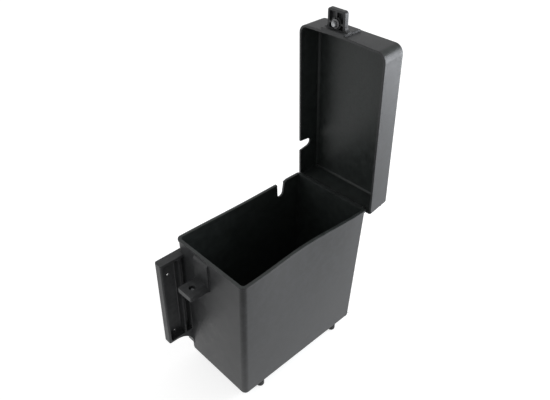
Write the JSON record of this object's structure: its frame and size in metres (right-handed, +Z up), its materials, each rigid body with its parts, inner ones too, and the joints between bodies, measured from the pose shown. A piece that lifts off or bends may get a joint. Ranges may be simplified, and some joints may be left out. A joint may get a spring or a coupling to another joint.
{
  "type": "battery box",
  "caption": "Open-topped moulded plastic battery box with a hinged lid, cable notches, a side mounting flange and a screw-down latch.",
  "frame": {"origin": "on the standing surface, under the middle of the open box's outline; the box stands on its four feet", "axes": "+Z up; -Y is the front, the short wall with the latch shelf; +Y is the hinge side; -X is the side with the cable notch and the mounting flange"},
  "size_m": [0.1162, 0.2577, 0.403],
  "materials": {
    "black_plastic": "semi-gloss moulded polypropylene",
    "plated_steel": "bright zinc plate",
    "black_rubber": "matt"
  },
  "bodies": {
    "box": {"box_body": "black_plastic", "shelf_nut": "plated_steel", "hinge_pin": "plated_steel", "hinge_cap_left": "plated_steel", "hinge_cap_right": "plated_steel", "foot_front_left": "black_rubber", "foot_front_right": "black_rubber", "foot_rear_left": "black_rubber", "foot_rear_right": "black_rubber"},
    "lid": {"lid": "black_plastic", "closing_washer": "plated_steel", "screw_retaining_ring": "black_rubber"},
    "closing_screw": {"closing_screw": "plated_steel"}
  },
  "joints": [
    {"name": "lid_hinge", "type": "hinge", "parent": "box", "child": "lid", "pos_m": [0, 0.09694, 0.1795], "axis": [1, 0, 0], "range_deg": [0, 87]},
    {"name": "closing_screw_turn", "type": "hinge", "parent": "lid", "child": "closing_screw", "pos_m": [-0.0112, 0.09449, 0.38856], "axis": [0, 0.9986, 0.0523], "continuous": true}
  ]
}
